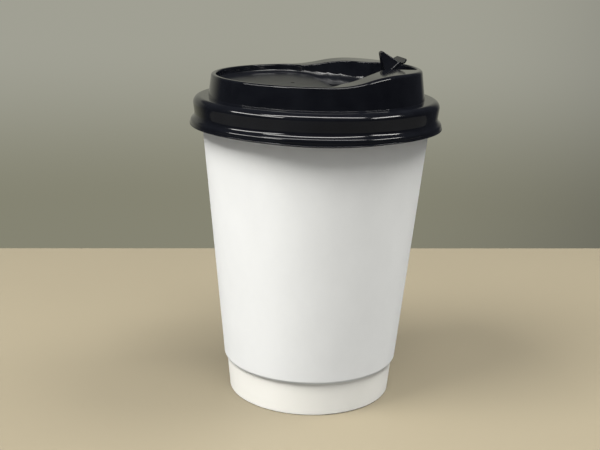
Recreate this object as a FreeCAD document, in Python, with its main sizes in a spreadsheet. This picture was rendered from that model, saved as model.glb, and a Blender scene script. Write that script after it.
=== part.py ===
import FreeCAD, Part
import math
import os
import Sketcher

# A double-walled paper coffee cup with a thermoformed lid whose drinking tab stands half open.
# Millimetres, Z up. The origin is the middle of the ring that the cup stands on, and the
# drinking side of the lid points along +X.

doc = FreeCAD.newDocument("PaperCoffeeCup")
sheet = doc.addObject("Spreadsheet::Sheet", "Sizes")

driving_sizes = [
    ("wall_foot_radius", 30.85, "outside of the cup wall, carried down to the table"),
    ("wall_slope", 0.09625, "how far the wall leans out for each millimetre of height"),
    ("cup_height", 112.2, "table to the top of the rolled rim"),
    ("paper", 0.4, "thickness of the cup wall and of the cup bottom"),
    ("curl_radius", 1.6, "outside of the rolled rim's section"),
    ("curl_end_angle", 112.0, "how far under the horizontal the roll goes on round"),
    ("hem_round", 0.4, "rounding on both sides of the ring that the cup stands on"),
    ("hem_height", 6.5, "top of the hem that is folded up inside the foot"),
    ("floor_height", 8.0, "underside of the cup bottom"),
    ("cup_lap_width", 7.0, "glued overlap of the cup wall"),
    ("cup_lap_side", 100.0, "direction of that overlap, in degrees from +X"),
    ("air_gap", 0.55, "space between the cup wall and the outer wrap"),
    ("wrap_paper", 0.4, "thickness of the outer wrap"),
    ("wrap_bottom", 13.2, "height of the wrap's lower edge"),
    ("wrap_turn", 0.75, "height over which that edge turns in to the cup wall"),
    ("wrap_top_gap", 0.1, "between the wrap's upper edge and the rolled rim"),
    ("wrap_lap_width", 8.0, "glued overlap of the wrap"),
    ("wrap_lap_side", 125.0, "direction of that overlap, in degrees from +X"),
    ("lid_sheet", 0.5, "thickness of the lid"),
    ("rim_clearance", 0.25, "between the lid's bead and the rolled rim"),
    ("bead_round", 2.5, "outside radius of the bead that sits on the rim"),
    ("waist_inset", 0.45, "how far the waist lies inside the bead"),
    ("waist_drop", 6.1, "from the bead's crest down to the waist"),
    ("lip_hollow", 2.5, "radius of the hollow between the waist and the lip"),
    ("lip_slope", 45.0, "how far that hollow turns outwards, in degrees"),
    ("lip_roll", 0.8, "radius of the lip's roll"),
    ("lip_flare", 1.7, "how far the lip stands out from the waist"),
    ("lip_drop", 4.1, "from the waist down to the skirt's lower edge"),
    ("bead_ledge", 3.05, "flat top of the bead, up to the riser"),
    ("riser_lean", 0.131, "how far the riser leans in for each millimetre of height"),
    ("rim_rise", 7.8, "from the bead's crest up to the low rim"),
    ("shelf_rise", 3.2, "from the low rim up to the crest of the drinking shelf"),
    ("drink_dip", 0.4, "how far the shelf sinks again towards the mouth"),
    ("ramp_start", -3.2, "where the rim starts to rise"),
    ("ramp_length", 25.0, "length of the S-shaped rise"),
    ("rim_width", 1.7, "width of the low rim"),
    ("rim_end", -4.0, "where the low rim starts to widen to the shelf"),
    ("shelf_start", 1.0, "where the shelf has its full width"),
    ("funnel_inset", 7.5, "how much smaller than the riser's foot the well's round side is"),
    ("funnel_centre", -9.0, "middle of that round side"),
    ("throat_radius", 6.0, "rounding where the well runs into the drinking channel"),
    ("channel_half_width", 6.2, "half of the drinking channel's width"),
    ("channel_corner", 2.5, "rounding of the channel's two end corners"),
    ("mouth_wall", 3.2, "from the riser's foot in to the end of the channel"),
    ("panel_depth", 3.0, "from the low rim down to the panel"),
    ("bed_depth", 4.1, "from the low rim down to the bed that the folded tab lies on"),
    ("bed_length", 17.3, "from the crease back to the edge of the bed"),
    ("bed_ledge", 0.45, "ledge around the bed, at the panel's level"),
    ("shelf_corner", 3.0, "rounding where the low rim widens to the shelf"),
    ("edge_round", 0.6, "rounding of the rim and the shelf"),
    ("floor_round", 0.25, "rounding at the foot of the well's sides"),
    ("well_draft", 8.0, "draft of the well's sides, in degrees"),
    ("tab_reach", 16.5, "from the end of the channel back to the tab's crease"),
    ("hinge_lift", 0.4, "the crease's axis above the bed"),
    ("tab_length", 15.2, "from the crease to the end of the pull lip"),
    ("tab_half_width", 4.85, "half of the tab's width"),
    ("tab_gap", 0.25, "cut around the tab"),
    ("lip_length", 2.6, "flat end of the tab that a finger lifts"),
    ("tab_corner", 0.9, "rounding of the pull lip's corners"),
    ("tab_open_angle", 41.0, "how far the tab stands open"),
    ("rib_width", 1.0, "raised bead along each side of the tab"),
    ("rib_rise", 0.45, "height of that bead"),
    ("stud_setback", 8.2, "from the end of the pull lip back to the stud's long slope"),
    ("stud_length", 6.9, "length of the stud's foot"),
    ("stud_half_width", 3.3, "half of its width at the foot"),
    ("stud_top_half_width", 1.7, "half of its width at the top"),
    ("stud_top_setback", 4.2, "from the end of the pull lip back to the stud's top edge"),
    ("stud_top_length", 1.3, "length of the stud's top"),
    ("stud_height", 7.4, "height of the stud"),
    ("pocket_clearance", 0.5, "space around the stud in its pocket"),
    ("vent_radius", 0.7, "air hole in the panel"),
    ("vent_place", -9.0, "where the air hole lies on the axis"),
]
for row, (alias, size, note) in enumerate(driving_sizes, start=2):
    sheet.set(f"A{row}", alias)
    sheet.set(f"B{row}", str(size))
    sheet.setAlias(f"B{row}", alias)
    sheet.set(f"C{row}", note)
doc.recompute()


def size_of(expression):
    """The number that an expression on the sizes gives now."""
    result = sheet.evalExpression(expression)
    return float(getattr(result, "Value", result))


def origin_plane(body, role):
    for feature in body.Origin.OriginFeatures:
        if feature.Role == role:
            return feature
    raise ValueError("no origin plane " + role)


def new_body(label):
    body = doc.addObject("PartDesign::Body", label)
    body.Label = label
    return body


def arc_centre(start, end, radius, side, wide):
    """Centre of the arc from start to end; side is 1 where it lies left of the way, -1 right."""
    across = FreeCAD.Vector(end.x - start.x, end.y - start.y, 0)
    half = across.Length / 2
    reach = math.sqrt(max(radius * radius - half * half, 0))
    left = FreeCAD.Vector(-across.y, across.x, 0).normalize()
    sign = -side if wide else side
    return start + across * 0.5 + left * (reach * sign)


def outline(body, name, role, corners, height="0", turn="0"):
    """A closed sketch. Each corner is (x, y, way on): the way on is None for a line, or
    (radius, side, wide) for an arc, or ("half", side) for a half circle along an axis."""
    sketch = body.newObject("Sketcher::SketchObject", name)
    sketch.AttachmentSupport = [(origin_plane(body, role), "")]
    sketch.MapMode = "FlatFace"
    if height != "0":
        sketch.setExpression(".AttachmentOffset.Base.z", height)
    if turn != "0":
        sketch.AttachmentOffset = FreeCAD.Placement(
            FreeCAD.Vector(0, 0, 0), FreeCAD.Rotation(FreeCAD.Vector(0, 1, 0), 1))
        sketch.setExpression(".AttachmentOffset.Rotation.Angle", turn)
    points = [FreeCAD.Vector(size_of(x), size_of(y), 0) for x, y, way in corners]
    ends = []
    for index, (x, y, way) in enumerate(corners):
        start = points[index]
        end = points[(index + 1) % len(points)]
        if way is None:
            sketch.addGeometry(Part.LineSegment(start, end))
            ends.append((1, 2))
            continue
        if way[0] == "half":
            side = way[1]
            centre = (start + end) * 0.5
            radius = (end - start).Length / 2
        else:
            radius = size_of(way[0])
            side = way[1]
            centre = arc_centre(start, end, radius, side, way[2])
        first = math.atan2(start.y - centre.y, start.x - centre.x)
        last = math.atan2(end.y - centre.y, end.x - centre.x)
        circle = Part.Circle(centre, FreeCAD.Vector(0, 0, 1), radius)
        if side > 0:
            sketch.addGeometry(Part.ArcOfCircle(circle, first, last))
            ends.append((1, 2))
        else:
            sketch.addGeometry(Part.ArcOfCircle(circle, last, first))
            ends.append((2, 1))
    for index in range(len(corners)):
        after = (index + 1) % len(corners)
        sketch.addConstraint(Sketcher.Constraint("Coincident", index, ends[index][1], after, ends[after][0]))
    for index, (x, y, way) in enumerate(corners):
        place = points[index]
        mark = ends[index][0]
        for kind, text, number in (("DistanceX", x, place.x), ("DistanceY", y, place.y)):
            at = sketch.addConstraint(Sketcher.Constraint(kind, -1, 1, index, mark, number))
            if not text.lstrip("-").replace(".", "").isdigit():
                sketch.setExpression(f"Constraints[{at}]", text)
        if way is None:
            continue
        if way[0] == "half":
            along = points[(index + 1) % len(points)] - place
            if abs(along.x) > abs(along.y):
                at = sketch.addConstraint(Sketcher.Constraint("DistanceY", -1, 1, index, 3, place.y))
                text = y
            else:
                at = sketch.addConstraint(Sketcher.Constraint("DistanceX", -1, 1, index, 3, place.x))
                text = x
        else:
            at = sketch.addConstraint(Sketcher.Constraint("Radius", index, size_of(way[0])))
            text = way[0]
        sketch.setExpression(f"Constraints[{at}]", text)
    doc.recompute()
    return sketch


def revolution(body, name, sketch, angle="360"):
    feature = body.newObject("PartDesign::Revolution", name)
    feature.Profile = sketch
    feature.ReferenceAxis = (sketch, ["V_Axis"])
    feature.Angle = 360
    if angle != "360":
        feature.Midplane = True
        feature.setExpression("Angle", angle)
    doc.recompute()
    return feature


def pocket(body, name, sketch, depth, draft="0"):
    """A pocket straight down from the sketch, its sides leaning in by the draft."""
    feature = body.newObject("PartDesign::Pocket", name)
    feature.Profile = sketch
    feature.setExpression("Length", depth)
    if draft != "0":
        feature.setExpression("TaperAngle", draft)
    doc.recompute()
    return feature


def rectangle(low, high, half):
    return [(low, f"-{half}", None), (high, f"-{half}", None), (high, half, None), (low, half, None)]


def pad(body, name, sketch, height):
    feature = body.newObject("PartDesign::Pad", name)
    feature.Profile = sketch
    feature.setExpression("Length", height)
    doc.recompute()
    return feature


def loft(body, name, kind, first, second):
    feature = body.newObject("PartDesign::" + kind, name)
    feature.Profile = first
    feature.Sections = [second]
    feature.Ruled = True
    doc.recompute()
    return feature


def fillet(body, name, edges, radius):
    base = body.Tip
    feature = body.newObject("PartDesign::Fillet", name)
    feature.Base = (base, edges)
    feature.setExpression("Radius", radius)
    doc.recompute()
    return feature


def edges_where(shape, test):
    """Names of the edges that pass the test."""
    return [f"Edge{number}" for number, edge in enumerate(shape.Edges, start=1) if test(edge)]


# Heights and radii that follow from the driving sizes.
wall_out = "(Sizes.wall_foot_radius + Sizes.wall_slope * ({}))"
curl_height = "(Sizes.cup_height - Sizes.curl_radius)"
curl_middle = f"({wall_out.format(curl_height)} - Sizes.paper + Sizes.curl_radius)"
curl_inside = "(Sizes.curl_radius - Sizes.paper)"
hem_turn = "(1.5 * Sizes.paper)"
wrap_out = "(Sizes.wall_foot_radius + Sizes.air_gap + Sizes.wrap_paper + Sizes.wall_slope * ({}))"
wrap_top = "(Sizes.cup_height - 2 * Sizes.curl_radius - Sizes.wrap_top_gap)"
bead_radius = f"({curl_middle} + Sizes.curl_radius + Sizes.rim_clearance + Sizes.lid_sheet)"
crest = "(Sizes.cup_height + Sizes.rim_clearance + Sizes.lid_sheet)"
waist_radius = f"({bead_radius} - Sizes.waist_inset)"
waist_height = f"({crest} - Sizes.waist_drop)"
lip_radius = f"({waist_radius} + Sizes.lip_flare)"
lip_height = f"({waist_height} - Sizes.lip_drop)"
lip_turn = "(Sizes.lip_hollow + Sizes.lip_roll)"
lip_straight = f"(Sizes.lip_flare - {lip_turn} * (1 - cos(Sizes.lip_slope)))"
roll_height = f"({waist_height} - {lip_turn} * sin(Sizes.lip_slope) - {lip_straight} / tan(Sizes.lip_slope))"
riser_foot = f"({bead_radius} - Sizes.bead_round - Sizes.bead_ledge)"
funnel_radius = f"({riser_foot} - Sizes.funnel_inset)"
channel_end = f"({riser_foot} - Sizes.mouth_wall)"
hinge_place = f"({channel_end} - Sizes.tab_reach)"
bed_start = f"({hinge_place} - Sizes.bed_length)"
rim_height = f"({crest} + Sizes.rim_rise)"
shelf_height = f"({rim_height} + Sizes.shelf_rise)"
blank_height = f"({shelf_height} + 2)"
riser_at = f"({riser_foot} - Sizes.riser_lean * ({{}} - {crest}))"
well_radius = f"({riser_at.format(rim_height)} - Sizes.rim_width)"
panel_height = f"({rim_height} - Sizes.panel_depth)"
bed_height = f"({rim_height} - Sizes.bed_depth)"
hinge_height = f"({bed_height} + Sizes.hinge_lift)"
stud_start = "(Sizes.tab_length - Sizes.stud_setback)"
stud_top_start = "(Sizes.tab_length - Sizes.stud_top_setback)"
stud_top_end = f"({stud_top_start} + Sizes.stud_top_length)"


def cup_wall():
    """The inner cup: hem, wall and rolled rim of one paper blank, with its glued overlap."""
    body = new_body("cup_wall")
    foot = wall_out.format(hem_turn)
    ring = wall_out.format("Sizes.hem_round")
    hem = wall_out.format("Sizes.hem_height")
    roll_end = "(cos(Sizes.curl_end_angle))"
    roll_sink = "(sin(Sizes.curl_end_angle))"
    rim = wall_out.format(curl_height)
    corners = [
        (ring, "Sizes.hem_round", None),
        (rim, curl_height, (curl_inside, -1, True)),
        (f"{curl_middle} + {curl_inside} * {roll_end}", f"{curl_height} - {curl_inside} * {roll_sink}", None),
        (f"{curl_middle} + Sizes.curl_radius * {roll_end}", f"{curl_height} - Sizes.curl_radius * {roll_sink}",
         ("Sizes.curl_radius", 1, True)),
        (f"{rim} - Sizes.paper", curl_height, None),
        (f"{foot} - Sizes.paper", hem_turn, ("half", -1)),
        (f"{foot} - 2 * Sizes.paper", hem_turn, None),
        (f"{hem} - 2 * Sizes.paper", "Sizes.hem_height", None),
        (f"{hem} - 3 * Sizes.paper", "Sizes.hem_height", None),
        (f"{ring} - 3 * Sizes.paper", "Sizes.hem_round", ("Sizes.hem_round", 1, False)),
        (f"{ring} - 3 * Sizes.paper + Sizes.hem_round", "0", None),
        (f"{ring} - Sizes.hem_round", "0", ("Sizes.hem_round", 1, False)),
    ]
    revolution(body, "WallTurn", outline(body, "WallSection", "XZ_Plane", corners))
    lap_foot = "(Sizes.floor_height + Sizes.paper + 0.1)"
    inner = f"{wall_out.format(lap_foot)} - Sizes.paper"
    upper = f"{rim} - Sizes.paper"
    lap = [
        (f"{inner} + Sizes.paper / 2", lap_foot, None),
        (f"{upper} + Sizes.paper / 2", curl_height, None),
        (f"{upper} - Sizes.paper", curl_height, None),
        (f"{inner} - Sizes.paper", lap_foot, None),
    ]
    section = outline(body, "LapSection", "XZ_Plane", lap, turn="Sizes.cup_lap_side")
    revolution(body, "LapTurn", section, "Sizes.cup_lap_width / Sizes.wall_foot_radius * 180 / pi")
    return body


def base_disc():
    """The cup's bottom: a paper disc with its edge turned down into the hem."""
    body = new_body("base_disc")
    top = "(Sizes.floor_height + Sizes.paper)"
    edge = f"({wall_out.format(top)} - Sizes.paper)"
    under = f"({wall_out.format('Sizes.floor_height')} - 2 * Sizes.paper)"
    foot = wall_out.format(hem_turn)
    corners = [
        ("0", "Sizes.floor_height", None),
        (under, "Sizes.floor_height", None),
        (f"{foot} - 2 * Sizes.paper", hem_turn, None),
        (f"{foot} - Sizes.paper", hem_turn, None),
        (edge, top, None),
        ("0", top, None),
    ]
    revolution(body, "DiscTurn", outline(body, "DiscSection", "XZ_Plane", corners))
    return body


def outer_wrap():
    """The outer paper cone, turned in at its lower edge until it meets the cup wall."""
    body = new_body("outer_wrap")
    bottom = "Sizes.wrap_bottom"
    turned = "(Sizes.wrap_bottom + Sizes.wrap_turn)"
    thick = "Sizes.wrap_paper"
    corners = [
        (f"{wrap_out.format(turned)}", turned, None),
        (f"{wrap_out.format(wrap_top)}", wrap_top, None),
        (f"{wrap_out.format(wrap_top)} - {thick}", wrap_top, None),
        (f"{wrap_out.format(turned)} - {thick}", f"{turned} + 0.25", None),
        (wall_out.format(f"({bottom} + {thick})"), f"{bottom} + {thick}", None),
        (wall_out.format(bottom), bottom, None),
        (f"{wrap_out.format(bottom)} - 0.5 * Sizes.air_gap", bottom, None),
    ]
    revolution(body, "WrapTurn", outline(body, "WrapSection", "XZ_Plane", corners))
    low = "(Sizes.wrap_bottom + 1.2 * Sizes.wrap_turn)"
    lap = [
        (f"{wrap_out.format(low)} - {thick} / 2", low, None),
        (f"{wrap_out.format(low)} + {thick}", low, None),
        (f"{wrap_out.format(wrap_top)} + {thick}", wrap_top, None),
        (f"{wrap_out.format(wrap_top)} - {thick} / 2", wrap_top, None),
    ]
    section = outline(body, "LapSection", "XZ_Plane", lap, turn="Sizes.wrap_lap_side")
    revolution(body, "LapTurn", section, "Sizes.wrap_lap_width / Sizes.wall_foot_radius * 180 / pi")
    return body


def funnel_sides(grow):
    """The well's outline round the drinking channel, widened all round by grow: from the mouth to
    the funnel's round side, and back from there."""
    funnel = f"({funnel_radius} + {grow})"
    half = f"(Sizes.channel_half_width + {grow})"
    throat = f"(Sizes.throat_radius - {grow})"
    throat_y = f"({half} + {throat})"
    throat_x = f"(Sizes.funnel_centre + sqrt(({funnel} + {throat}) ^ 2 - {throat_y} ^ 2))"
    share = f"({funnel} / ({funnel} + {throat}))"
    meet_x = f"(Sizes.funnel_centre + {share} * ({throat_x} - Sizes.funnel_centre))"
    meet_y = f"({share} * {throat_y})"
    end = f"({channel_end} + {grow})"
    turn = f"(Sizes.channel_corner + {grow})"
    upper = [
        (end, f"-({half} - {turn})", None),
        (end, f"({half} - {turn})", (turn, 1, False)),
        (f"{end} - {turn}", half, None),
        (throat_x, half, (throat, -1, False)),
        (meet_x, meet_y, (funnel, 1, False)),
    ]
    lower = [
        (meet_x, f"-{meet_y}", (throat, -1, False)),
        (throat_x, f"-{half}", None),
        (f"{end} - {turn}", f"-{half}", (turn, 1, False)),
    ]
    return upper, lower


def lid_form(name, inset):
    """The lid as a full block, its surface drawn in by the inset."""
    body = new_body(name)
    riser_top = riser_at.format(blank_height)
    corners = [
        ("0", f"{lip_height} - 2 * {inset}", None),
        (f"{lip_radius} - {inset}", f"{lip_height} - 2 * {inset}", None),
        (f"{lip_radius} - {inset}", roll_height, (f"(Sizes.lip_roll - {inset})", 1, False)),
        (f"{lip_radius} - Sizes.lip_roll + (Sizes.lip_roll - {inset}) * cos(Sizes.lip_slope)",
         f"{roll_height} + (Sizes.lip_roll - {inset}) * sin(Sizes.lip_slope)", None),
        (f"{waist_radius} + Sizes.lip_hollow - (Sizes.lip_hollow + {inset}) * cos(Sizes.lip_slope)",
         f"{waist_height} - (Sizes.lip_hollow + {inset}) * sin(Sizes.lip_slope)",
         (f"(Sizes.lip_hollow + {inset})", -1, False)),
        (f"{waist_radius} - {inset}", waist_height, None),
        (f"{bead_radius} - {inset}", f"{crest} - Sizes.bead_round",
         (f"(Sizes.bead_round - {inset})", 1, False)),
        (f"{bead_radius} - Sizes.bead_round", f"{crest} - {inset}", None),
        (f"{riser_foot} - {inset}", f"{crest} - {inset}", None),
        (f"{riser_top} - {inset}", blank_height, None),
        ("0", blank_height, None),
    ]
    revolution(body, name + "Turn", outline(body, name + "Section", "XZ_Plane", corners))

    half_ramp = "(Sizes.ramp_length / 2)"
    ramp_arc = f"(({half_ramp} ^ 2 + (Sizes.shelf_rise / 2) ^ 2) / Sizes.shelf_rise)"
    ramp_end = "(Sizes.ramp_start + Sizes.ramp_length)"
    mouth = f"({riser_foot} + 2)"
    dip_arc = f"((({mouth} - {ramp_end}) ^ 2 + Sizes.drink_dip ^ 2) / (2 * Sizes.drink_dip))"
    top = [
        (f"-{mouth}", f"{rim_height} - {inset}", None),
        ("Sizes.ramp_start", f"{rim_height} - {inset}", (f"({ramp_arc} - {inset})", 1, False)),
        (f"Sizes.ramp_start + {half_ramp}", f"{rim_height} + Sizes.shelf_rise / 2 - {inset}",
         (f"({ramp_arc} + {inset})", -1, False)),
        (ramp_end, f"{shelf_height} - {inset}", (dip_arc, -1, False)),
        (mouth, f"{shelf_height} - Sizes.drink_dip - {inset}", None),
        (mouth, f"{blank_height} + 3", None),
        (f"-{mouth}", f"{blank_height} + 3", None),
    ]
    side = body.newObject("PartDesign::Pocket", name + "Top")
    side.Profile = outline(body, name + "TopSection", "XZ_Plane", top)
    side.Type = "ThroughAll"
    side.Midplane = True
    doc.recompute()

    grow = f"({inset} + tan(Sizes.well_draft) * ({blank_height} - {rim_height}))"
    wide = f"({well_radius} + {grow})"
    funnel = f"({funnel_radius} + {grow})"
    mouth_side, low_side = funnel_sides(grow)
    left_y = f"sqrt({wide} ^ 2 - Sizes.rim_end ^ 2)"
    shelf_y = f"sqrt({funnel} ^ 2 - (Sizes.shelf_start - Sizes.funnel_centre) ^ 2)"
    well = mouth_side + [
        ("Sizes.shelf_start", shelf_y, None),
        ("Sizes.rim_end", left_y, (wide, 1, size_of("Sizes.rim_end") > 0)),
        ("Sizes.rim_end", f"-{left_y}", None),
        ("Sizes.shelf_start", f"-{shelf_y}", (funnel, 1, False)),
    ] + low_side
    depth = f"({blank_height} - {panel_height} + {inset})"
    section = outline(body, name + "WellSection", "XY_Plane", well, height=blank_height)
    pocket(body, name + "Well", section, depth, "-Sizes.well_draft")

    def upright(place):
        spot = size_of(place)

        def here(edge):
            box = edge.BoundBox
            return abs(box.Center.x - spot) < 0.9 and box.ZMin > floor and box.ZLength > 2 and box.YLength < 1

        return edges_where(body.Shape, here)

    floor = size_of(f"{panel_height} - {inset}") - 0.01
    fillet(body, name + "RimCorner", upright("Sizes.rim_end"), f"Sizes.shelf_corner + {inset}")
    fillet(body, name + "ShelfCorner", upright("Sizes.shelf_start"), f"Sizes.shelf_corner - {inset}")

    grow = f"({inset} - tan(Sizes.well_draft) * Sizes.panel_depth - Sizes.bed_ledge)"
    funnel = f"({funnel_radius} + {grow})"
    mouth_side, low_side = funnel_sides(grow)
    step = f"({bed_start} - {inset})"
    step_y = f"sqrt({funnel} ^ 2 - ({step} - Sizes.funnel_centre) ^ 2)"
    bed = mouth_side + [
        (step, step_y, None),
        (step, f"-{step_y}", (funnel, 1, False)),
    ] + low_side
    depth = "(Sizes.bed_depth - Sizes.panel_depth)"
    section = outline(body, name + "BedSection", "XY_Plane", bed, height=f"{panel_height} - {inset}")
    pocket(body, name + "Bed", section, depth, "-Sizes.well_draft")

    swing = f"(sqrt({stud_top_end} ^ 2 + Sizes.stud_height ^ 2) + Sizes.pocket_clearance + {inset})"
    deep = "(Sizes.stud_height + Sizes.pocket_clearance)"
    far_top = f"({hinge_place} - {swing})"
    far_low = f"(2 * ({hinge_place} - sqrt({swing} ^ 2 - ({deep} / 2) ^ 2)) - {far_top})"
    room = f"(1.4 * Sizes.pocket_clearance + {inset})"
    near_top = f"({hinge_place} - {stud_start} + {room})"
    near_low = f"({hinge_place} - {stud_top_start} + {room})"
    side_top = f"(Sizes.stud_half_width + Sizes.pocket_clearance + {inset})"
    side_low = f"(Sizes.stud_top_half_width + Sizes.pocket_clearance + {inset})"
    mouth_section = outline(body, name + "PocketMouth", "XY_Plane", rectangle(far_top, near_top, side_top),
                            height=f"{bed_height} - {inset}")
    floor_section = outline(body, name + "PocketFloor", "XY_Plane", rectangle(far_low, near_low, side_low),
                            height=f"{hinge_height} - {deep} - {inset}")
    loft(body, name + "Pocket", "SubtractiveLoft", mouth_section, floor_section)
    return body


def round_edges(body):
    """Rounds the rim and the shelf on both sides, and the foot of the well's sides."""
    rim = size_of(rim_height)
    floors = [size_of(panel_height), size_of(bed_height)]
    foot = size_of(riser_foot)

    def on_top(edge):
        box = edge.BoundBox
        return box.ZMin > rim - 0.01 and box.XLength > 0.01

    def on_floor(edge):
        box = edge.BoundBox
        level = min(abs(box.ZMin - height) for height in floors) < 0.01
        return level and box.ZLength < 0.01 and box.XMax < foot - 1

    fillet(body, "RimRound", edges_where(body.Shape, on_top), "Sizes.edge_round")
    fillet(body, "FootRound", edges_where(body.Shape, on_floor), "Sizes.floor_round")


def lid():
    """The lid: the block's surface as a sheet, with the mouth under the tab and the air hole."""
    outer = lid_form("LidOuter", "0")
    round_edges(outer)
    inner = lid_form("LidInner", "Sizes.lid_sheet")
    shell = doc.addObject("Part::Cut", "LidSheet")
    shell.Base = outer
    shell.Tool = inner

    mouth = new_body("MouthCut")
    gap = "Sizes.tab_gap"
    cut = tab_outline(gap, gap, hinge_place)
    section = outline(mouth, "MouthSection", "XY_Plane", cut, height=f"{bed_height} - 2 * Sizes.lid_sheet")
    pad(mouth, "MouthPad", section, "3 * Sizes.lid_sheet")
    vent = doc.addObject("Part::Cylinder", "VentCut")
    vent.setExpression("Radius", "Sizes.vent_radius")
    vent.setExpression("Height", "3 * Sizes.lid_sheet")
    vent.setExpression("Placement.Base.x", "Sizes.vent_place")
    vent.setExpression("Placement.Base.z", f"{panel_height} - 2 * Sizes.lid_sheet")
    holes = doc.addObject("Part::MultiFuse", "LidHoles")
    holes.Shapes = [mouth, vent]
    cover = doc.addObject("Part::Cut", "Lid")
    cover.Base = shell
    cover.Tool = holes
    cover.Label = "lid"
    doc.recompute()
    return cover


def tab_outline(side, end, start):
    """The tab's outline from its crease to the pull lip, with the lip's corners rounded."""
    half = f"(Sizes.tab_half_width + {side})"
    tip = f"({start} + Sizes.tab_length + {end})"
    heel = f"({start} + Sizes.tab_gap - {side})"
    turn = f"(Sizes.tab_corner + {side})"
    return [
        (heel, f"-{half}", None),
        (f"{tip} - {turn}", f"-{half}", (turn, 1, False)),
        (tip, f"-({half} - {turn})", None),
        (tip, f"({half} - {turn})", (turn, 1, False)),
        (f"{tip} - {turn}", half, None),
        (heel, half, None),
    ]


def drinking_tab():
    """The tab, drawn closed and flat about its crease, and then turned open."""
    body = new_body("drinking_tab")
    top = "(-Sizes.hinge_lift)"
    under = f"({top} - Sizes.lid_sheet)"
    plate = outline(body, "PlateSection", "XY_Plane", tab_outline("0", "0", "0"), height=under)
    pad(body, "Plate", plate, "Sizes.lid_sheet")

    for side, sign in (("Near", "-"), ("Far", "")):
        outside = f"{sign}(Sizes.tab_half_width - 0.1)"
        inside = f"{sign}(Sizes.tab_half_width - 0.1 - Sizes.rib_width)"
        reach = "(Sizes.tab_length - Sizes.lip_length)"
        rib = [
            ("2 * Sizes.tab_gap", outside, None),
            (reach, outside, None),
            (reach, inside, None),
            ("2 * Sizes.tab_gap", inside, None),
        ]
        section = outline(body, side + "RibSection", "XY_Plane", rib, height=f"{top} - Sizes.lid_sheet / 2")
        pad(body, side + "Rib", section, "Sizes.rib_rise + Sizes.lid_sheet / 2")

    def stud(name, kind, inset, foot):
        low = rectangle(f"({stud_start} + 1.4 * {inset})", f"({stud_start} + Sizes.stud_length - {inset})",
                        f"(Sizes.stud_half_width - {inset})")
        high = rectangle(f"({stud_top_start} + 0.6 * {inset})", f"({stud_top_end} - 0.6 * {inset})",
                         f"(Sizes.stud_top_half_width - 0.8 * {inset})")
        lower = outline(body, name + "Foot", "XY_Plane", low, height=foot)
        upper = outline(body, name + "Top", "XY_Plane", high, height=f"{top} + Sizes.stud_height - {inset}")
        loft(body, name, kind, lower, upper)

    stud("Stud", "AdditiveLoft", "0", f"{top} - Sizes.lid_sheet / 2")
    middle = size_of("Sizes.stud_height / 2")
    fillet(body, "StudRound", edges_where(body.Shape, lambda edge: edge.BoundBox.ZMax > middle), "Sizes.lid_sheet")
    stud("StudHollow", "SubtractiveLoft", "Sizes.lid_sheet", under)

    body.Placement = FreeCAD.Placement(FreeCAD.Vector(0, 0, 0), FreeCAD.Rotation(FreeCAD.Vector(0, -1, 0), 1))
    body.setExpression("Placement.Base.x", hinge_place)
    body.setExpression("Placement.Base.z", hinge_height)
    body.setExpression("Placement.Rotation.Angle", "Sizes.tab_open_angle")
    doc.recompute()
    return body


def save(pieces):
    """Checks every object and every piece, and then writes one file for each piece."""
    for item in doc.Objects:
        if "Invalid" in item.State or "Error" in item.State:
            raise RuntimeError(f"{item.Name} failed: {item.State}")
    for piece in pieces:
        shape = piece.Shape
        if shape.isNull() or not shape.isValid():
            raise RuntimeError(f"{piece.Label} has no valid shape")
    os.makedirs("parts", exist_ok=True)
    for piece in pieces:
        piece.Shape.exportStep(f"parts/{piece.Label}.step")
        print(piece.Label, round(piece.Shape.Volume, 1), len(piece.Shape.Solids), len(piece.Shape.Faces))


save([cup_wall(), base_disc(), outer_wrap(), lid(), drinking_tab()])
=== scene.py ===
import bmesh
import bpy
from math import atan, atan2, cos, degrees, exp, pi, radians, sin, tan
from mathutils import Matrix, Vector


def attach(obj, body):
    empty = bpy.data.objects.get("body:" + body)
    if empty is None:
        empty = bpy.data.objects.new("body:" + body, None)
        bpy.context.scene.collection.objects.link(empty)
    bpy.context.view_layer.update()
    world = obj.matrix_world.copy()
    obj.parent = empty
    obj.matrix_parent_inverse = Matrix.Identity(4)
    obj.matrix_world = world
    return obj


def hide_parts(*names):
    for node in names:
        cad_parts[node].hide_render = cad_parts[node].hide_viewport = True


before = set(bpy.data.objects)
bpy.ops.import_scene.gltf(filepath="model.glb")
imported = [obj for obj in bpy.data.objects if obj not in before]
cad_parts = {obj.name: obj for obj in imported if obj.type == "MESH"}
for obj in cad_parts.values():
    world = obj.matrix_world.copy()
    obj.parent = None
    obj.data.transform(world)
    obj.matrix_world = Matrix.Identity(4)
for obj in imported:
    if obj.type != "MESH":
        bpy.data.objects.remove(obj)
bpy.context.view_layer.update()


def deselectAll():
    bpy.ops.object.select_all(action="DESELECT")


def selectOnly(piece):
    deselectAll()
    piece.select_set(True)
    bpy.context.view_layer.objects.active = piece


# camera

cameraView = {
    "azimuth": -13.0,       # degrees round the cup, 0 looks along +Y
    "elevation": 16.32,
    "distance": 0.3763,     # from the point that it looks at
    "aimHeight": 0.055,
    "pan": -0.0130,         # how far beside and above that point the view's middle lies
    "tilt": 0.0224,
    "roll": 1.63,
    "lens": 59.1,
    "nearest": 0.01,        # nothing nearer than this is drawn
}


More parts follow.
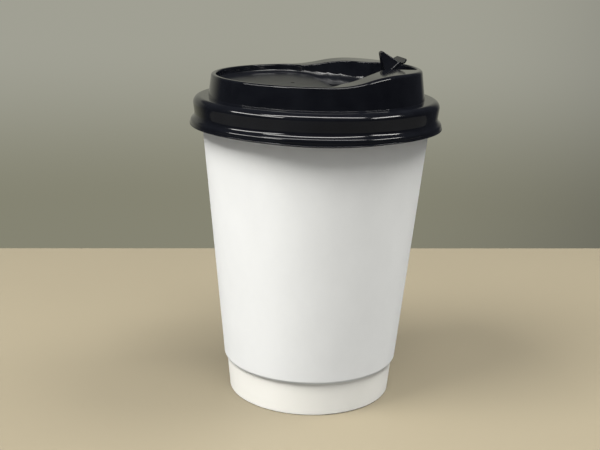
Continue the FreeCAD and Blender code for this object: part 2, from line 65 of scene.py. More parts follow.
def makeCamera():
    v = cameraView
    aim = Vector((0, 0, v["aimHeight"]))
    around, above = radians(v["azimuth"]), radians(v["elevation"])
    back = Vector((sin(around) * cos(above), -cos(around) * cos(above), sin(above)))
    right = (-back).cross(Vector((0, 0, 1))).normalized()
    up = right.cross(-back)
    forward = (-back + right * v["pan"] + up * v["tilt"]).normalized()
    right = forward.cross(up).normalized()
    up = right.cross(forward)
    turn = radians(v["roll"])
    side = right * cos(turn) + up * sin(turn)
    top = up * cos(turn) - right * sin(turn)
    bpy.ops.object.camera_add()
    camera = bpy.context.object
    camera.name = "Camera"
    view = Matrix((side, top, -forward)).transposed().to_4x4()
    view.translation = aim + back * v["distance"]
    camera.matrix_world = view
    camera.data.lens = v["lens"]
    camera.data.clip_start = v["nearest"]
    bpy.context.scene.camera = camera


makeCamera()
print("stage: camera")


# materials

def newMaterial(name):
    material = bpy.data.materials.new(name)
    material.use_nodes = True
    nodes = material.node_tree.nodes
    return material, nodes, material.node_tree.links, nodes["Principled BSDF"]


def objectCoordinates(nodes, links, scale):
    coordinates = nodes.new("ShaderNodeTexCoord")
    mapping = nodes.new("ShaderNodeMapping")
    mapping.inputs["Scale"].default_value = scale
    links.new(coordinates.outputs["Object"], mapping.inputs["Vector"])
    return mapping.outputs["Vector"]


def noise(nodes, links, vector, scale, detail, roughness):
    texture = nodes.new("ShaderNodeTexNoise")
    texture.inputs["Scale"].default_value = scale
    texture.inputs["Detail"].default_value = detail
    texture.inputs["Roughness"].default_value = roughness
    links.new(vector, texture.inputs["Vector"])
    return texture.outputs["Fac"]


def ramp(nodes, links, factor, stops):
    mixer = nodes.new("ShaderNodeValToRGB")
    elements = mixer.color_ramp.elements
    for element, (position, colour) in zip(elements, stops):
        element.position = position
        element.color = (*colour, 1)
    links.new(factor, mixer.inputs["Fac"])
    return mixer.outputs["Color"]


def bump(nodes, links, height, shader, strength, distance):
    node = nodes.new("ShaderNodeBump")
    node.inputs["Strength"].default_value = strength
    node.inputs["Distance"].default_value = distance
    links.new(height, node.inputs["Height"])
    links.new(node.outputs["Normal"], shader.inputs["Normal"])


paperLook = {
    "wrap": {"pale": (0.80, 0.81, 0.81), "dim": (0.77, 0.78, 0.78), "roughness": 0.62},
    "cup": {"pale": (0.90, 0.89, 0.845), "dim": (0.88, 0.87, 0.82), "roughness": 0.5},
    "grain": (1, 1, 0.6),           # the fibres lie a little along the cup
    "fibre": (900.0, 6, 0.65),      # a noise's scale, detail and roughness
    "fibreHeight": 0.00002,
    "fibreStrength": 0.5,
    "cloud": (60.0, 5, 0.6),
    "cloudSpan": (0.35, 0.65),
    "index": 1.4,
}


def paperMaterial(name, tones):
    material, nodes, links, shader = newMaterial(name)
    look = paperLook
    vector = objectCoordinates(nodes, links, look["grain"])
    cloud = noise(nodes, links, vector, *look["cloud"])
    low, high = look["cloudSpan"]
    links.new(ramp(nodes, links, cloud, [(low, tones["dim"]), (high, tones["pale"])]),
              shader.inputs["Base Color"])
    fibre = noise(nodes, links, vector, *look["fibre"])
    bump(nodes, links, fibre, shader, look["fibreStrength"], look["fibreHeight"])
    shader.inputs["Roughness"].default_value = tones["roughness"]
    shader.inputs["IOR"].default_value = look["index"]
    return material


plasticLook = {
    "deep": (0.0022, 0.0025, 0.0038),
    "lit": (0.0040, 0.0045, 0.0062),
    "gloss": (0.07, 0.13),          # roughness, from and to
    "matt": (0.27, 0.36),           # the well's floor, which the mould left duller
    "cloud": (160.0, 4, 0.5),       # a noise's scale, detail and roughness
    "cloudSpan": (0.3, 0.7),
    "smear": (420.0, 5, 0.6),       # where it is duller and where it shines
    "wave": (70.0, 3, 0.5),
    "waveHeight": 0.000012,
    "waveStrength": 0.2,
    "index": 1.5,
}


def plasticMaterial(name, roughness):
    material, nodes, links, shader = newMaterial(name)
    look = plasticLook
    vector = objectCoordinates(nodes, links, (1, 1, 1))
    cloud = noise(nodes, links, vector, *look["cloud"])
    low, high = look["cloudSpan"]
    links.new(ramp(nodes, links, cloud, [(low, look["deep"]), (high, look["lit"])]),
              shader.inputs["Base Color"])
    spread = nodes.new("ShaderNodeMapRange")
    spread.inputs["To Min"].default_value = roughness[0]
    spread.inputs["To Max"].default_value = roughness[1]
    links.new(noise(nodes, links, vector, *look["smear"]), spread.inputs["Value"])
    links.new(spread.outputs["Result"], shader.inputs["Roughness"])
    wave = noise(nodes, links, vector, *look["wave"])
    bump(nodes, links, wave, shader, look["waveStrength"], look["waveHeight"])
    shader.inputs["IOR"].default_value = look["index"]
    return material


wrapPaper = paperMaterial("wrapPaper", paperLook["wrap"])
cupPaper = paperMaterial("cupPaper", paperLook["cup"])
blackPlastic = plasticMaterial("blackPlastic", plasticLook["gloss"])
mattPlastic = plasticMaterial("mattPlastic", plasticLook["matt"])


def dress(node, material):
    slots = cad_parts[node].data.materials
    slots.clear()
    slots.append(material)


for node, material in (("cup_wall", cupPaper), ("base_disc", cupPaper), ("outer_wrap", wrapPaper),
                       ("lid", blackPlastic), ("drinking_tab", blackPlastic)):
    dress(node, material)
print("stage: materials")


# drinking tab, its values; along it from the crease, across it, and up from its hinge

tabShape = {
    "hinge": (19.795, 0, 117.05), "open": 41.0,         # degrees at rest
    "crease": 0.25, "gap": 0.2, "gapShare": 0.4,        # where the tab starts, and the cut round it
    "top": -0.4, "sheet": 0.5, "edgeRound": 0.16,
    "half": 5.0, "lipRoot": 13.9, "lipHalf": 7.1,       # half widths of the tab and its pull lip
    "lipStep": 0.7, "lipFlat": 0.35, "reach": 15.7, "tipHalf": 5.6, "tipCut": (0.12, 0.4),
    "bead": (8.9, 13.6, 3.15, 4.55), "beadRise": 0.6, "beadRound": 0.34,    # start, end, sides
    "beadDraft": 0.1, "beadFlat": 0.12, "beadSink": 0.3,    # the sinks start inside the sheet
    "studFoot": (6.8, 13.5, 3.3), "studTop": (10.3, 11.35, 1.35),           # start, end, half width
    "studHeight": 6.95, "studSink": 0.25, "studRound": 0.3,
    "hollowFoot": (0.75, 0.55, 1.0), "hollowTop": (0.35, 0.35, 0.7),        # its walls, in sheets
    "hollowSink": 0.1,
    "smoothAngle": 35.0,
}


# lid

lidShape = {
    # millimetres, up from the floor and out from the cup's axis
    "columns": 300, "sheet": 0.5, "merge": 0.02, "smoothAngle": 32.0,
    "lipRadius": 46.29, "lipBottom": 102.75,
    "edgeHeight": 0.2, "edgeRoll": 0.28, "edgeTurn": 72, "edgeStep": 0.45,
    "lipNeck": 46.02, "neckTop": 103.85, "lipRoll": 1.38, "lipSlope": 50.6,
    "hollow": 2.5, "waistRadius": 44.6, "waist": 106.85,
    "beadRadius": 45.04, "beadRound": 2.5, "crest": 112.95,
    "riserFoot": 39.5, "riserLean": 0.131, "footRound": 0.15, "ledge": 1.0,
    "rim": 120.75, "shelfRise": 3.2, "rampStart": -3.2, "rampLength": 25.0, "dip": 0.4,
    "rimRound": 0.75, "shelfRound": 1.3, "wellRound": 0.45,
    "rimWidth": 1.68, "draft": 8.0,
    "funnel": 32.0, "funnelCentre": -9.0, "throat": 6.0,
    "outlineSteps": {"mouth": 8, "corner": 10, "side": 8, "throat": 12, "funnel": 300},
    "bendWeight": 2.0,               # columns come closer together where the well's outline bends
    "mouthRadius": 35.8, "mouthHalf": 12.4, "mouthCorner": 3.2,
    "jog": (86.0, 98.0),             # degrees from the mouth: here the low rim widens to the shelf
    "panel": 117.75, "bed": 116.65, "slope": (1.2, 7.0),
    "ridges": ((9.0, 5.0, 0.3), (12.7, 9.5, 0.25)),    # place along X, start beside the axis, height
    "ridgeWidth": 0.55, "ridgeFade": 1.5,
    "floorAxis": (-33.0, 34.0),      # the floor's rings close on this stretch of the axis
    "cove": 1.3, "roundCove": 2.4, "coveGrows": (-2, 8),
    "mouthCove": 0.25, "coveShrinks": (30, 35.5),
    "sag": 0.65, "sagAt": -98.0, "sagSpread": 27.0,    # the lip droops in front
    "sagTop": 104.7, "sagFade": 1.2,
    "vent": (-9.0, 0.7), "ventDepth": 3.0,
    "pocketMouth": (4.9, 13.9, 3.8), "pocketFloor": (5.9, 10.2, 2.4), "pocketDepth": 109.15,
    "pocketSink": 0.25, "cutRise": 0.6, "plug": (-2.0, 1.0),
    "mattSlope": 0.35, "mattReach": 1.4,    # the duller faces: how level, how near the panel's height
}
mm = 0.001
tiny = 0.01     # millimetres, to tell upright edges from level ones


def smooth(value, low, high):
    share = min(max((value - low) / (high - low), 0.0), 1.0)
    return share * share * (3 - 2 * share)


def shelfHeight(x):
    s = lidShape
    share = (x - s["rampStart"]) / s["rampLength"]
    if share <= 0:
        return s["rim"]
    if share < 0.5:
        return s["rim"] + s["shelfRise"] * 2 * share ** 2
    if share < 1:
        return s["rim"] + s["shelfRise"] * (1 - 2 * (1 - share) ** 2)
    rampEnd = s["rampStart"] + s["rampLength"]
    return s["rim"] + s["shelfRise"] - s["dip"] * ((x - rampEnd) / (s["riserFoot"] - rampEnd)) ** 2


def floorHeight(x, y):
    s = lidShape
    height = s["panel"] + (s["bed"] - s["panel"]) * smooth(x, *s["slope"])
    for ridge, start, rise in s["ridges"]:
        across = smooth(abs(y), start, start + s["ridgeFade"])
        height += rise * exp(-((x - ridge) / s["ridgeWidth"]) ** 2) * across
    return height


def riserRadius(z):
    return lidShape["riserFoot"] - lidShape["riserLean"] * (z - lidShape["crest"])


def arc(centre, radius, start, end, steps):
    # points after the start, so that arcs follow each other
    turns = [radians(start + (end - start) * step / steps) for step in range(1, steps + 1)]
    return [(centre[0] + radius * cos(turn), centre[1] + radius * sin(turn)) for turn in turns]


def wellOutline(grow):
    # half of the well's outline from above, from the middle of the mouth round to the low rim
    s = lidShape
    mouth, half = s["mouthRadius"] + grow, s["mouthHalf"] + grow
    corner, throat, funnel = s["mouthCorner"] + grow, s["throat"] - grow, s["funnel"] + grow
    centre, steps = s["funnelCentre"], s["outlineSteps"]
    rimInside = riserRadius(s["rim"]) - s["rimWidth"] + grow
    cornerX = ((mouth - corner) ** 2 - (half - corner) ** 2) ** 0.5
    cornerTurn = degrees(atan2(half - corner, cornerX))
    points = [(mouth, 0.0)] + arc((0, 0), mouth, 0, cornerTurn, steps["mouth"])
    points += arc((cornerX, half - corner), corner, cornerTurn, 90, steps["corner"])
    throatX = centre + ((funnel + throat) ** 2 - (half + throat) ** 2) ** 0.5
    points += [(cornerX + (throatX - cornerX) * step / steps["side"], half)
               for step in range(1, steps["side"] + 1)]
    turn = degrees(atan2(half + throat, throatX - centre))
    points += arc((throatX, half + throat), throat, -90, turn - 180, steps["throat"])
    start = atan2(points[-1][1], points[-1][0])
    for step in range(1, steps["funnel"] + 1):
        around = start + (pi - start) * step / steps["funnel"]
        wide = centre * cos(around) + (funnel ** 2 - (centre * sin(around)) ** 2) ** 0.5
        radius = wide + (rimInside - wide) * smooth(degrees(around), *s["jog"])
        points.append((radius * cos(around), radius * sin(around)))
    return points


def wellColumns():
    # for each column the outline's point, and how that point moves as the well grows by 1 mm
    small, large = wellOutline(0.0), wellOutline(1.0)
    lengths = [0.0]
    for index in range(1, len(small)):
        step = Vector(small[index]) - Vector(small[index - 1])
        bend = 0.0
        if index < len(small) - 1:
            bend = step.angle(Vector(small[index + 1]) - Vector(small[index]))
        lengths.append(lengths[-1] + step.length + lidShape["bendWeight"] * bend)
    half, at, columns = lidShape["columns"] // 2, 1, []
    for column in range(half + 1):
        goal = lengths[-1] * column / half
        while at < len(lengths) - 1 and lengths[at] < goal:
            at += 1
        share = (goal - lengths[at - 1]) / (lengths[at] - lengths[at - 1])
        point = Vector(small[at - 1]).lerp(Vector(small[at]), share)
        grown = Vector(large[at - 1]).lerp(Vector(large[at]), share)
        columns.append((point, grown - point))
    mirrored = [(Vector((p.x, -p.y)), Vector((g.x, -g.y))) for p, g in columns[half - 1:0:-1]]
    return columns + mirrored


def skirtRings():
    # radius and height of the round rings, from the lip up to the foot of the riser
    s = lidShape
    low = s["lipBottom"] + s["edgeHeight"]
    rings = [(s["lipRadius"], low)]
    rings += arc((s["lipRadius"] - s["edgeRoll"], low), s["edgeRoll"], 0, s["edgeTurn"], 4)
    rings += [(s["lipNeck"], low + s["edgeStep"]), (s["lipNeck"], s["neckTop"])]
    rings += arc((s["lipNeck"] - s["lipRoll"], s["neckTop"]), s["lipRoll"], 0, s["lipSlope"], 7)
    hollowCentre = (s["waistRadius"] + s["hollow"], s["waist"])
    rings += arc(hollowCentre, s["hollow"], 180 + s["lipSlope"], 180, 8)
    shoulder = s["crest"] - s["beadRound"]
    for share in (0.33, 0.67, 1.0):
        rings.append((s["waistRadius"] + (s["beadRadius"] - s["waistRadius"]) * share,
                      s["waist"] + (shoulder - s["waist"]) * share))
    rings += arc((s["beadRadius"] - s["beadRound"], shoulder), s["beadRound"], 0, 90, 10)
    lean = atan(s["riserLean"])
    foot = s["crest"] + s["footRound"]
    footCentre = riserRadius(foot) + s["footRound"] / cos(lean)
    rings.append((footCentre + s["ledge"], s["crest"]))
    rings.append((footCentre, s["crest"]))
    rings += arc((footCentre, foot), s["footRound"], -90, degrees(lean) - 180, 5)
    return rings


def topPoints(column, well):
    # one column's points from the riser's foot over the rim or shelf and down to the floor's axis
    s = lidShape
    around = 2 * pi * column / s["columns"]
    direction = Vector((cos(around), sin(around)))
    lean, draft = atan(s["riserLean"]), radians(s["draft"])
    points = []

    # height and reach hang together, and a few rounds settle them
    reach = riserRadius(s["rim"])
    for attempt in range(4):
        top = shelfHeight(reach * direction.x)
        edge = s["rimRound"] + (s["shelfRound"] - s["rimRound"]) * (top - s["rim"]) / s["shelfRise"]
        reach = riserRadius(top - edge) - edge / cos(lean)
    start = skirtRings()[-1]
    goal = (reach + edge * cos(lean), top - edge + edge * sin(lean))
    for share in (0.25, 0.5, 0.75, 1.0):
        radius = start[0] + (goal[0] - start[0]) * share
        points.append((*(direction * radius), start[1] + (goal[1] - start[1]) * share))
    for radius, height in arc((reach, top - edge), edge, degrees(lean), 90, 6):
        points.append((*(direction * radius), height))

    wellEdge, growth = well

    def inside(grow):
        return wellEdge + growth * grow

    def wall(height):
        return tan(draft) * (height - s["rim"])

    edge, top = s["wellRound"], shelfHeight(wellEdge.x)
    for attempt in range(4):
        back = wall(top - edge) + edge / cos(draft)
        top = shelfHeight(inside(back).x)
    outer, inner = Vector(points[-1][:2]), inside(back)
    for share in (0.12, 0.3, 0.5, 0.7, 0.88, 1.0):
        spot = outer.lerp(inner, share)
        points.append((*spot, shelfHeight(spot.x)))
    for grow, height in arc((back, top - edge), edge, 90, 180 - s["draft"], 5):
        points.append((*inside(grow), height))

    cove = s["cove"] + (s["roundCove"] - s["cove"]) * smooth(wellEdge.x, *s["coveGrows"])
    cove += (s["mouthCove"] - cove) * smooth(wellEdge.x, *s["coveShrinks"])
    low = floorHeight(*inside(-1.0))
    back = wall(low + cove) - cove / cos(draft)
    low = floorHeight(*inside(back))
    start, goal = points[-1][2], low + cove - cove * sin(draft)
    for share in (0.34, 0.67, 1.0):
        height = start + (goal - start) * share
        points.append((*inside(wall(height)), height))
    for grow, height in arc((back, low + cove), cove, -s["draft"], -90, 6):
        points.append((*inside(grow), height))

    outer = Vector(points[-1][:2])
    axis = Vector((min(max(outer.x, s["floorAxis"][0]), s["floorAxis"][1]), 0.0))
    for share in (0.06, 0.14, 0.25, 0.38, 0.52, 0.66, 0.8, 0.91, 1.0):
        spot = outer.lerp(axis, share)
        points.append((*spot, floorHeight(*spot)))
    return points


def lidSheet():
    s = lidShape
    deselectAll()
    bpy.ops.mesh.primitive_circle_add(vertices=s["columns"], radius=s["lipRadius"] * mm,
                                      location=(0, 0, 0))
    piece = bpy.context.object
    bpy.ops.object.mode_set(mode="EDIT")
    bpy.ops.mesh.select_all(action="SELECT")
    bpy.ops.transform.translate(value=(0, 0, s["lipBottom"] * mm))
    mesh = bmesh.from_edit_mesh(piece.data)
    layer = mesh.verts.layers.int.new("column")
    for vertex in mesh.verts:
        around = atan2(vertex.co.y, vertex.co.x) / (2 * pi) * s["columns"]
        vertex[layer] = round(around) % s["columns"]
    bmesh.update_edit_mesh(piece.data)

    radius, height = s["lipRadius"], s["lipBottom"]
    for nextRadius, nextHeight in skirtRings():
        bpy.ops.mesh.extrude_edges_move(
            TRANSFORM_OT_translate={"value": (0, 0, (nextHeight - height) * mm)})
        grow = nextRadius / radius
        bpy.ops.transform.resize(value=(grow, grow, 1), center_override=(0, 0, nextHeight * mm))
        radius, height = nextRadius, nextHeight

    columns = [topPoints(column, well) for column, well in enumerate(wellColumns())]
    for ring in range(len(columns[0])):
        bpy.ops.mesh.extrude_edges_move()
        mesh = bmesh.from_edit_mesh(piece.data)
        layer = mesh.verts.layers.int["column"]
        for vertex in mesh.verts:
            if vertex.select:
                vertex.co = Vector(columns[vertex[layer]][ring]) * mm
        bmesh.update_edit_mesh(piece.data)

    bpy.ops.mesh.select_all(action="SELECT")
    bpy.ops.mesh.remove_doubles(threshold=s["merge"] * mm)
    bpy.ops.mesh.normals_make_consistent(inside=False)
    mesh = bmesh.from_edit_mesh(piece.data)
    crest = [face for face in mesh.faces
             if face.calc_center_median().z > (s["rim"] - s["rimRound"]) * mm]
    if sum(face.normal.z for face in crest) < 0:
        bpy.ops.mesh.flip_normals()
    mesh = bmesh.from_edit_mesh(piece.data)
    for vertex in mesh.verts:
        if vertex.co.z < s["sagTop"] * mm:
            away = degrees(atan2(vertex.co.y, vertex.co.x)) - s["sagAt"]
            share = 1 - smooth(vertex.co.z / mm, s["sagTop"] - s["sagFade"], s["sagTop"])
            vertex.co.z -= s["sag"] * mm * exp(-(away / s["sagSpread"]) ** 2) * share
    bmesh.update_edit_mesh(piece.data)
    bpy.ops.object.mode_set(mode="OBJECT")
    return piece


def applyModifier(piece, kind, **settings):
    # one modifier, set up and applied
    modifier = piece.modifiers.new(kind.title(), kind)
    for name, value in settings.items():
        setattr(modifier, name, value)
    bpy.context.view_layer.objects.active = piece
    bpy.ops.object.modifier_apply(modifier=modifier.name)


def finishPiece(piece, angle, materials):
    selectOnly(piece)
    bpy.ops.object.shade_smooth_by_angle(angle=radians(angle))
    applyModifier(piece, "WEIGHTED_NORMAL", keep_sharp=True)
    piece.data.materials.clear()
    for material in materials:
        piece.data.materials.append(material)


def tabPlate(gap, low, high):
    # the tab's outline as a plate, drawn lying closed; the gap makes it the cut in the lid
    t = tabShape
    deselectAll()
    half, wing = t["half"] + gap, t["lipHalf"] + gap
    reach, root = t["reach"] + gap, t["lipRoot"]
    along, across = t["tipCut"]
    side = [(0.0 if gap else t["crease"], half), (root - t["lipStep"] - gap, half),
            (root - gap * t["gapShare"], wing),
            (root + t["lipFlat"] + gap * t["gapShare"], wing),
            (reach - along, t["tipHalf"] + gap), (reach, t["tipHalf"] + gap - across)]
    outline = [(u, -y) for u, y in side] + [(u, y) for u, y in reversed(side)]
    bpy.ops.mesh.primitive_circle_add(vertices=len(outline), radius=mm, fill_type="NGON")
    plate = bpy.context.object
    bpy.ops.object.mode_set(mode="EDIT")
    mesh = bmesh.from_edit_mesh(plate.data)
    for vertex, (u, y) in zip(mesh.verts, outline):
        vertex.co = (u * mm, y * mm, low * mm)
    bmesh.update_edit_mesh(plate.data)
    bpy.ops.mesh.select_all(action="SELECT")
    bpy.ops.mesh.extrude_region_move(TRANSFORM_OT_translate={"value": (0, 0, (high - low) * mm)})
    bpy.ops.mesh.select_all(action="SELECT")
    bpy.ops.mesh.normals_make_consistent(inside=False)
    bpy.ops.object.mode_set(mode="OBJECT")
    return plate


def placeTab(piece, angle):
    # from the crease's own frame to the lid's, turned open by the angle
    t = tabShape
    turn = Matrix.Rotation(radians(-angle), 4, "Y")
    piece.data.transform(Matrix.Translation(Vector(t["hinge"]) * mm) @ turn)


def holePlug():
    plug = tabPlate(tabShape["gap"], *lidShape["plug"])
    placeTab(plug, 0)
    return plug


def ventPlug():
    along, radius = lidShape["vent"]
    deselectAll()
    bpy.ops.mesh.primitive_cylinder_add(vertices=32, radius=radius * mm,
                                        depth=lidShape["ventDepth"] * mm,
                                        location=(along * mm, 0, lidShape["panel"] * mm))
    bpy.ops.object.transform_apply(location=True, rotation=False, scale=False)
    return bpy.context.object


def pocketBlock(grow, above):
    # the stud's pocket: its inside, or grown by the sheet its outside
    s = lidShape
    far, near, half = s["pocketMouth"]
    lowFar, lowNear, lowHalf = s["pocketFloor"]
    far, near, half = far - grow, near + grow, half + grow
    lowFar, lowNear, lowHalf = lowFar - grow, lowNear + grow, lowHalf + grow
    deselectAll()
    bpy.ops.mesh.primitive_grid_add(x_subdivisions=12, y_subdivisions=4, size=1,
                                    location=((far + near) / 2 * mm, 0, 0))
    block = bpy.context.object
    block.scale = ((near - far) * mm, 2 * half * mm, 1)
    bpy.ops.object.transform_apply(location=True, rotation=False, scale=True)
    bpy.ops.object.mode_set(mode="EDIT")
    bpy.ops.mesh.select_all(action="SELECT")
    bpy.ops.mesh.extrude_region_move()
    mesh = bmesh.from_edit_mesh(block.data)
    for vertex in mesh.verts:
        along = (vertex.co.x / mm - far) / (near - far)
        if vertex.select:
            vertex.co.z = (floorHeight(vertex.co.x / mm, 0) + above) * mm
        else:
            vertex.co.x = (lowFar + (lowNear - lowFar) * along) * mm
            vertex.co.y *= lowHalf / half
            vertex.co.z = (s["pocketDepth"] - grow) * mm
    bmesh.update_edit_mesh(block.data)
    bpy.ops.mesh.select_all(action="SELECT")
    bpy.ops.mesh.normals_make_consistent(inside=False)
    bpy.ops.object.mode_set(mode="OBJECT")
    return block


def makeLid():
    lid = lidSheet()
    lid.name = "lidSheet"
    applyModifier(lid, "SOLIDIFY", thickness=lidShape["sheet"] * mm, offset=-1)
    pocket = pocketBlock(lidShape["sheet"], -lidShape["pocketSink"])
    applyModifier(lid, "BOOLEAN", operation="UNION", solver="EXACT", object=pocket)
    cutters = [pocket]
    for cutter in (pocketBlock(0.0, lidShape["cutRise"]), holePlug(), ventPlug()):
        applyModifier(lid, "BOOLEAN", operation="DIFFERENCE", solver="EXACT", object=cutter)
        cutters.append(cutter)
    for cutter in cutters:
        bpy.data.objects.remove(cutter, do_unlink=True)
    finishPiece(lid, lidShape["smoothAngle"], (blackPlastic, mattPlastic))
    for face in lid.data.polygons:
        away = abs(face.center.z / mm - lidShape["panel"])
        if face.normal.z > lidShape["mattSlope"] and away < lidShape["mattReach"]:
            face.material_index = 1
    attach(lid, "cup")
    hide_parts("lid")


makeLid()
print("stage: lid")


# drinking tab

def taperedBlock(foot, top, low, high):
    # a block from a cube, with its own foot and top: start, end and half width
    deselectAll()
    bpy.ops.mesh.primitive_cube_add(size=1)
    block = bpy.context.object
    bpy.ops.object.mode_set(mode="EDIT")
    mesh = bmesh.from_edit_mesh(block.data)
    for vertex in mesh.verts:
        start, end, half = top if vertex.co.z > 0 else foot
        vertex.co = ((end if vertex.co.x > 0 else start) * mm,
                     (half if vertex.co.y > 0 else -half) * mm,
                     (high if vertex.co.z > 0 else low) * mm)
    bmesh.update_edit_mesh(block.data)
    bpy.ops.object.mode_set(mode="OBJECT")
    return block


def roundEdges(piece, offset, segments, chosen):
    # bevels the edges whose two ends the test accepts
    selectOnly(piece)
    bpy.ops.object.mode_set(mode="EDIT")
    bpy.ops.mesh.select_all(action="DESELECT")
    mesh = bmesh.from_edit_mesh(piece.data)
    for edge in mesh.edges:
        ends = [vertex.co / mm for vertex in edge.verts]
        edge.select_set(chosen(*ends))
    bmesh.update_edit_mesh(piece.data)
    bpy.ops.mesh.bevel(offset=offset * mm, segments=segments, affect="EDGES")
    bpy.ops.object.mode_set(mode="OBJECT")


def makeTab():
    t = tabShape
    tab = tabPlate(0.0, t["top"] - t["sheet"], t["top"])
    tab.name = "drinkingTab"
    roundEdges(tab, t["edgeRound"], 2, lambda a, b: abs(a.z - b.z) < tiny)
    start, end, low, high = t["bead"]
    half, draft, top = (high - low) / 2, t["beadDraft"], t["top"] + t["beadRise"]
    extras = []
    for side in (-1, 1):
        bead = taperedBlock((start, end, half), (start + draft, end - draft, half - draft),
                            t["top"] - t["beadSink"], top)
        roundEdges(bead, half - t["beadFlat"], 6,
                   lambda a, b: abs(a.z - b.z) > tiny and a.x < (start + end) / 2)
        roundEdges(bead, t["beadRound"], 4, lambda a, b: min(a.z, b.z) > top - tiny)
        bead.data.transform(Matrix.Translation((0, side * (low + high) / 2 * mm, 0)))
        extras.append(bead)
    peak = t["top"] + t["studHeight"]
    stud = taperedBlock(t["studFoot"], t["studTop"], t["top"] - t["studSink"], peak)
    roundEdges(stud, t["studRound"], 5, lambda a, b: max(a.z, b.z) > peak - tiny)
    extras.append(stud)
    for extra in extras:
        applyModifier(tab, "BOOLEAN", operation="UNION", solver="EXACT", object=extra)
    sheet = t["sheet"]

    def thinned(block, walls):
        # start, end and half width, each moved in by its share of the sheet
        return (block[0] + walls[0] * sheet, block[1] - walls[1] * sheet, block[2] - walls[2] * sheet)

    hollow = taperedBlock(thinned(t["studFoot"], t["hollowFoot"]), thinned(t["studTop"], t["hollowTop"]),
                          t["top"] - sheet - t["hollowSink"], peak - sheet)
    applyModifier(tab, "BOOLEAN", operation="DIFFERENCE", solver="EXACT", object=hollow)
    for extra in extras + [hollow]:
        bpy.data.objects.remove(extra, do_unlink=True)
    placeTab(tab, t["open"])
    finishPiece(tab, t["smoothAngle"], (blackPlastic,))
    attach(tab, "tab")
    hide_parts("drinking_tab")


makeTab()
print("stage: drinking tab")


# floor and light

studio = {
    "floorEdge": 0.185,                 # behind the cup, where the floor ends
    "floorTurn": 7.3,                   # degrees, so that its edge lies level in the picture
    "floorSize": 4.0,
    "floorTones": ((0.182, 0.158, 0.110), (0.199, 0.173, 0.121)),
    "floorSpan": (0.3, 0.7),
    "floorCloud": (3.0, 3, 0.5),            # a noise's scale, detail and roughness
    "floorRoughness": 0.6,
    "floorBounce": (0.12, 0.118, 0.112),    # its colour in the light that it throws back
    "floorGloss": (0.05, 0.05, 0.05),       # and in reflections
    "backLow": (0.235, 0.23, 0.17),         # the backdrop, low down
    "backHigh": (0.355, 0.352, 0.295),
    "backRise": (-0.24, -0.08),             # upward part of a ray's direction, from low to high
    "above": (0.07, 0.07, 0.066),           # darker again above the picture
    "aboveRise": (0.29, 0.36),
    "front": (0.035, 0.037, 0.045),         # dark everywhere but behind the cup
    "frontDepth": (0.68, 0.95),             # part of a ray's direction along +Y, front to backdrop
    "fillLow": (0.09, 0.089, 0.087),        # soft light from round about, and from above
    "fillHigh": (0.74, 0.745, 0.735),
    "fillRise": (0.15, 0.9),
    "daylight": (0.965, 0.95, 0.915),
    "lampAim": (0, 0, 0.09),
}


def mixColours(nodes, links, factor, first, second):
    # each colour is a socket or plain numbers
    mixer = nodes.new("ShaderNodeMix")
    mixer.data_type = "RGBA"
    links.new(factor, mixer.inputs["Factor"])
    for name, colour in (("A", first), ("B", second)):
        if isinstance(colour, tuple):
            mixer.inputs[name].default_value = (*colour, 1)
        else:
            links.new(colour, mixer.inputs[name])
    return mixer.outputs["Result"]


def makeFloor():
    deselectAll()
    size = studio["floorSize"]
    bpy.ops.mesh.primitive_grid_add(x_subdivisions=8, y_subdivisions=8, size=size)
    floor = bpy.context.object
    floor.name = "Floor"
    bpy.ops.object.mode_set(mode="EDIT")
    bpy.ops.mesh.select_all(action="SELECT")
    bpy.ops.transform.translate(value=(0, studio["floorEdge"] - size / 2, 0))
    bpy.ops.transform.rotate(value=radians(studio["floorTurn"]), orient_axis="Z",
                             center_override=(0, 0, 0))
    bpy.ops.object.mode_set(mode="OBJECT")
    material, nodes, links, shader = newMaterial("floorPaint")
    vector = objectCoordinates(nodes, links, (1, 1, 1))
    cloud = noise(nodes, links, vector, *studio["floorCloud"])
    colour = ramp(nodes, links, cloud, zip(studio["floorSpan"], studio["floorTones"]))
    rays = nodes.new("ShaderNodeLightPath")
    thrown = mixColours(nodes, links, rays.outputs["Is Glossy Ray"],
                        studio["floorBounce"], studio["floorGloss"])
    seen = mixColours(nodes, links, rays.outputs["Is Camera Ray"], thrown, colour)
    links.new(seen, shader.inputs["Base Color"])
    shader.inputs["Roughness"].default_value = studio["floorRoughness"]
    floor.data.materials.append(material)


def directionRamp(nodes, links, parts, axis, span):
    # 0 to 1 as a ray's direction along one axis goes over the span
    rise = nodes.new("ShaderNodeMapRange")
    rise.interpolation_type = "SMOOTHSTEP"
    rise.inputs["From Min"].default_value, rise.inputs["From Max"].default_value = span
    links.new(parts.outputs[axis], rise.inputs["Value"])
    return rise.outputs["Result"]


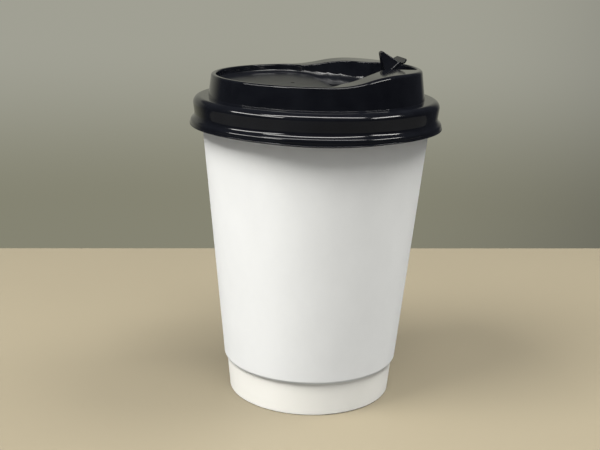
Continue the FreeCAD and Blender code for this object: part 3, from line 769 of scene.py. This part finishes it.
def makeWorld():
    world = bpy.context.scene.world or bpy.data.worlds.new("World")
    bpy.context.scene.world = world
    world.use_nodes = True
    nodes, links = world.node_tree.nodes, world.node_tree.links
    nodes.clear()
    direction = nodes.new("ShaderNodeTexCoord")
    parts = nodes.new("ShaderNodeSeparateXYZ")
    links.new(direction.outputs["Generated"], parts.inputs[0])

    def rising(axis, span, first, second):
        factor = directionRamp(nodes, links, parts, axis, studio[span])
        return mixColours(nodes, links, factor, first, second)

    fill = rising("Z", "fillRise", studio["fillLow"], studio["fillHigh"])
    around = rising("Z", "backRise", studio["backLow"], studio["backHigh"])
    around = rising("Z", "aboveRise", around, studio["above"])
    around = rising("Y", "frontDepth", studio["front"], around)

    rays = nodes.new("ShaderNodeLightPath")
    seen = nodes.new("ShaderNodeMath")
    seen.operation = "MAXIMUM"
    links.new(rays.outputs["Is Camera Ray"], seen.inputs[0])
    links.new(rays.outputs["Is Glossy Ray"], seen.inputs[1])
    background = nodes.new("ShaderNodeBackground")
    links.new(mixColours(nodes, links, seen.outputs[0], fill, around), background.inputs["Color"])
    output = nodes.new("ShaderNodeOutputWorld")
    links.new(background.outputs[0], output.inputs["Surface"])


lamps = {
    # azimuth and elevation as for a camera, distance, width, height, watts, and whether it is a
    # strip: a strip only shows as a glint on the plastic, and the other lamps never do
    "KeyLeft": (-72, 52, 1.3, 0.6, 0.6, 28.5, False),
    "SkyFront": (5, 64, 1.3, 0.6, 0.6, 15.0, False),
    "SkyRight": (80, 60, 1.3, 0.6, 0.6, 16.0, False),
    "StripHigh": (-15, 60, 1.5, 2.2, 0.22, 24.0, True),
    "StripLowLeft": (-73, 33, 1.5, 1.4, 0.16, 12.0, True),
    "StripLowRight": (60, 33, 1.5, 0.75, 0.16, 7.0, True),
}


def makeLamps():
    aim = Vector(studio["lampAim"])
    for name, (azimuth, elevation, distance, width, height, watts, strip) in lamps.items():
        around, above = radians(azimuth), radians(elevation)
        back = Vector((sin(around) * cos(above), -cos(around) * cos(above), sin(above)))
        bpy.ops.object.light_add(type="AREA", location=aim + back * distance)
        lamp = bpy.context.object
        lamp.name = name
        lamp.rotation_euler = back.to_track_quat("Z", "Y").to_euler()
        lamp.data.shape = "RECTANGLE"
        lamp.data.size = width
        lamp.data.size_y = height
        lamp.data.energy = watts
        lamp.data.color = studio["daylight"]
        lamp.visible_glossy = strip
        lamp.visible_diffuse = not strip


makeFloor()
makeWorld()
makeLamps()
bpy.context.scene.view_settings.view_transform = "Standard"
print("stage: studio")
